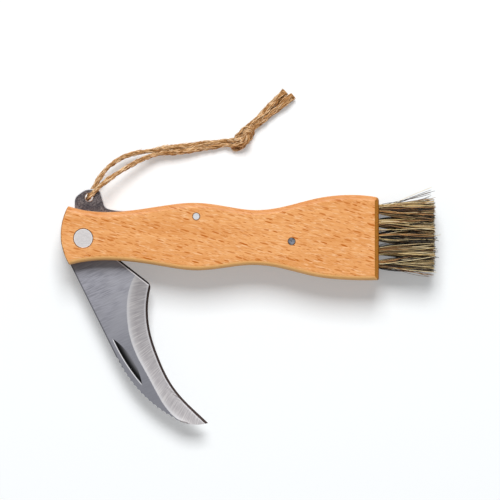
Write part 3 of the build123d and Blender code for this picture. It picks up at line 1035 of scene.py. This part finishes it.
def scatter(rng, size):
    """A small random shift across the brush, of a size in millimetres."""
    return Vector((0, rng.gauss(0, size * mm), rng.gauss(0, size * mm)))


def sways(rng, bow, wave):
    """The bow and the wave of a bristle, each of a size in millimetres."""
    return (scatter(rng, bow), scatter(rng, wave))


def thickness(rng, least, most):
    """A bristle's radius, between two sizes in millimetres."""
    return rng.uniform(least, most) * mm


def tuft_centre(row, file):
    """Where a tuft leaves the butt."""
    return Vector((butt, row * mm, middle + file * mm))


def tuft_hairs(rng, row, file):
    """A tuft's bristles in clumps of like colour that spread to the level cut."""
    hairs = []
    centre = tuft_centre(row, file)
    sunk = Vector((bristle_sunk, 0, 0))
    lean = Vector((0, (row - brush_rise) * (tip_lean - 1), file * (tip_lean - 1))) * mm
    for _ in range(clumps_in_tuft):
        way = spot(rng, 1.0)
        shade = rng.random()
        bow = way * bulge + scatter(rng, clump_scatter)
        for _ in range(hairs_in_clump):
            root = centre + way * root_radius + scatter(rng, root_scatter) - sunk
            cut = Vector((bristle_length + rng.gauss(0, cut_scatter) * mm, 0, 0))
            tip = centre + lean + way * tip_radius + scatter(rng, tip_scatter) + cut
            sway = (bow + scatter(rng, bow_scatter), scatter(rng, wave_scatter))
            value = shade if rng.random() < like_share else rng.random()
            hairs.append(hair(root, tip, sway, thickness(rng, *tuft_radii), value))
    return hairs


def band_hairs(rng, band, count, shades):
    """Bristles of like colour that run together over the top, from a root's to a tip's Y."""
    hairs = []
    for _ in range(count):
        root = tuft_centre(band[0], file_places[-1]) + scatter(rng, band_root_scatter)
        tip = Vector((butt + bristle_length, band[1] * mm, root.z + band_lift))
        tip += scatter(rng, band_tip_scatter)
        sway = sways(rng, *loose_sways)
        hairs.append(hair(root, tip, sway, thickness(rng, *band_radii), rng.uniform(*shades)))
    return hairs


def crossing(rng):
    """Bristles that cross their neighbours, inside the brush's sides."""
    hairs = []
    for _ in range(crossing_hairs):
        root = tuft_centre(rng.choice(row_places), rng.choice(file_places))
        root += spot(rng, root_radius)
        cut = bristle_length + abs(rng.gauss(0, crossing_cut_scatter)) * mm
        side = rng.uniform(*crossing_sides) * mm
        tip = root + Vector((cut, side, rng.uniform(*crossing_lifts) * mm))
        tip.y = min(max(tip.y, brush_side_low), brush_side_high)
        sway = sways(rng, *crossing_sways)
        thick = thickness(rng, *crossing_radii)
        hairs.append(hair(root, tip, sway, thick, rng.choice(crossing_shades)))
    return hairs


def fan(rng):
    """Bristles that fan out past the brush's side towards the handle's back."""
    hairs = []
    for number in range(fan_hairs):
        root = tuft_centre(row_places[0], rng.choice(file_places)) + spot(rng, root_radius)
        spread = fan_start + fan_width * (number / fan_hairs) ** fan_crowding
        side = (spread + rng.gauss(0, fan_scatter)) * mm
        tip = Vector((butt + bristle_length - rng.uniform(*fan_shortfalls) * mm, side, root.z))
        sway = sways(rng, *loose_sways)
        hairs.append(hair(root, tip, sway, thickness(rng, *fan_radii), rng.choice(fan_shades)))
    return hairs


def trailing(rng):
    """Bristles that stand out a little past the brush's side towards the belly."""
    hairs = []
    for _ in range(trailing_hairs):
        root = tuft_centre(row_places[-1], rng.choice(file_places)) + spot(rng, root_radius)
        side = rng.uniform(*trailing_sides) * mm
        tip = Vector((butt + bristle_length - rng.uniform(*trailing_shortfalls) * mm, side, root.z))
        sway = sways(rng, *loose_sways)
        thick = thickness(rng, *trailing_radii)
        hairs.append(hair(root, tip, sway, thick, rng.uniform(*trailing_shades)))
    return hairs


def brush_hairs(rng):
    """All the bristles of the brush."""
    hairs = crossing(rng)
    for band in dark_bands:
        hairs += band_hairs(rng, band, hairs_in_dark_band, dark_shades)
    hairs += fan(rng) + trailing(rng)
    for band in pale_bands:
        hairs += band_hairs(rng, band, hairs_in_pale_band, pale_shades)
    for row in row_places:
        for file in file_places:
            hairs += tuft_hairs(rng, row, file)
    return hairs


bristle = fibre_finish(
    "bristle",
    "hair",
    [
        (0.0, srgb(18, 15, 16)),
        (0.34, srgb(34, 27, 27)),
        (0.44, srgb(118, 76, 42)),
        (0.56, srgb(196, 142, 84)),
        (0.66, srgb(134, 104, 72)),
        (0.8, srgb(228, 198, 134)),
        (1.0, srgb(252, 238, 200)),
    ],
    roughness=0.42,
    mottle_size=bristle_mottle,
    mottle_share=0.25,
)
# The bristles turn paler towards their cut tips
fade_along(bristle, butt + tip_pale_start, butt + bristle_length, tip_pale_share, srgb(200, 182, 150))
hairs = brush_hairs(random.Random(brush_seed))
brush = link("brush_bristles", fibre_mesh("brush_bristles", hairs, "hair"))
brush.data.materials.append(bristle)
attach(brush, "handle")
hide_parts(*[f"tuft_{number:02d}" for number in range(1, 16)])

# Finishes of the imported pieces
rivet_radius = 4.2 * mm
rivet_place = (0, 0, 0)
rivet_metal = turned_metal(
    "rivet_metal", rivet_place, rivet_radius, srgb(222, 218, 218), srgb(209, 205, 205), 0.5
)
spring_pin_metal = turned_metal(
    "pin_steel_bright", spring_pin_place, pin_radius, srgb(226, 226, 228), srgb(208, 209, 212), 0.5
)

# The dull pin's painted rim highlight lies outside it, so that it has none
tail_pin_metal = turned_metal(
    "pin_steel_dull", tail_pin_place, 2 * pin_radius, srgb(165, 168, 178), srgb(96, 100, 109), 0.4
)
finishes = {
    "handle_block": beech(),
    "blade": blade_steel(),
    "back_spring": spring_steel(),
    "rivet_front": rivet_metal,
    "rivet_rear": rivet_metal,
    "spring_pin": spring_pin_metal,
    "tail_pin": tail_pin_metal,
    "pivot_washers": drawn_metal("washer_brass", srgb(214, 178, 104), srgb(188, 148, 76), 0.4),
    "anchor_wires": drawn_metal("anchor_wire", srgb(190, 190, 192), srgb(150, 150, 154), 0.4),
}
for name, finish in finishes.items():
    for material_slot in nodes[name].material_slots:
        material_slot.material = finish

# Studio: an even pale room, a wide soft lamp from the handle's back and a white floor
room_level = 0.26
lamp_share = 0.79
lamp_distance = 2.0
lamp_size = 0.9
lamp_tilt = math.radians(36)
lamp_side = math.radians(2)
floor_size = 8.0
floor_glow = 0.25
floor_colour = (0.765, 0.79, 0.805, 1)
white = (1, 1, 1, 1)


def make_lamp():
    """The wide lamp, aimed at the picture's centre."""
    way = Matrix.Rotation(lamp_side, 3, "Z") @ Matrix.Rotation(-lamp_tilt, 3, "X")
    data = bpy.data.lights.new("soft_lamp", "AREA")
    data.size = lamp_size
    data.energy = lamp_share * math.pi**2 * lamp_distance**2 / math.cos(lamp_tilt)
    lamp = bpy.data.objects.new("soft_lamp", data)
    place = Matrix.Translation(picture_centre + way @ Vector((0, 0, lamp_distance)))
    lamp.matrix_world = place @ way.to_4x4()
    lamp.visible_camera = False
    bpy.context.scene.collection.objects.link(lamp)


def make_room():
    """The same pale light from every side."""
    world = bpy.data.worlds.new("room")
    world.use_nodes = True
    background = world.node_tree.nodes["Background"]
    background.inputs["Color"].default_value = white
    background.inputs["Strength"].default_value = room_level
    bpy.context.scene.world = world


def make_floor():
    """A white sheet that keeps the shadows and shows white to the camera."""
    bpy.ops.mesh.primitive_plane_add(size=floor_size, location=(0, 0, 0))
    floor = bpy.context.active_object
    floor.name = "floor"
    finish, tree, shader = new_finish("floor_white", roughness=0.9, specular=0.0)
    shader.inputs["Base Color"].default_value = floor_colour
    shader.inputs["Emission Color"].default_value = white
    rays = node(tree, "LightPath", {}).outputs
    seen = maths(tree, "MAXIMUM", rays["Is Camera Ray"], rays["Is Glossy Ray"])
    seen = maths(tree, "MAXIMUM", seen, rays["Is Transmission Ray"])
    tree.links.new(times(tree, seen, floor_glow), shader.inputs["Emission Strength"])
    floor.data.materials.append(finish)


make_lamp()
make_room()
make_floor()
bpy.context.scene.view_settings.view_transform = "Standard"
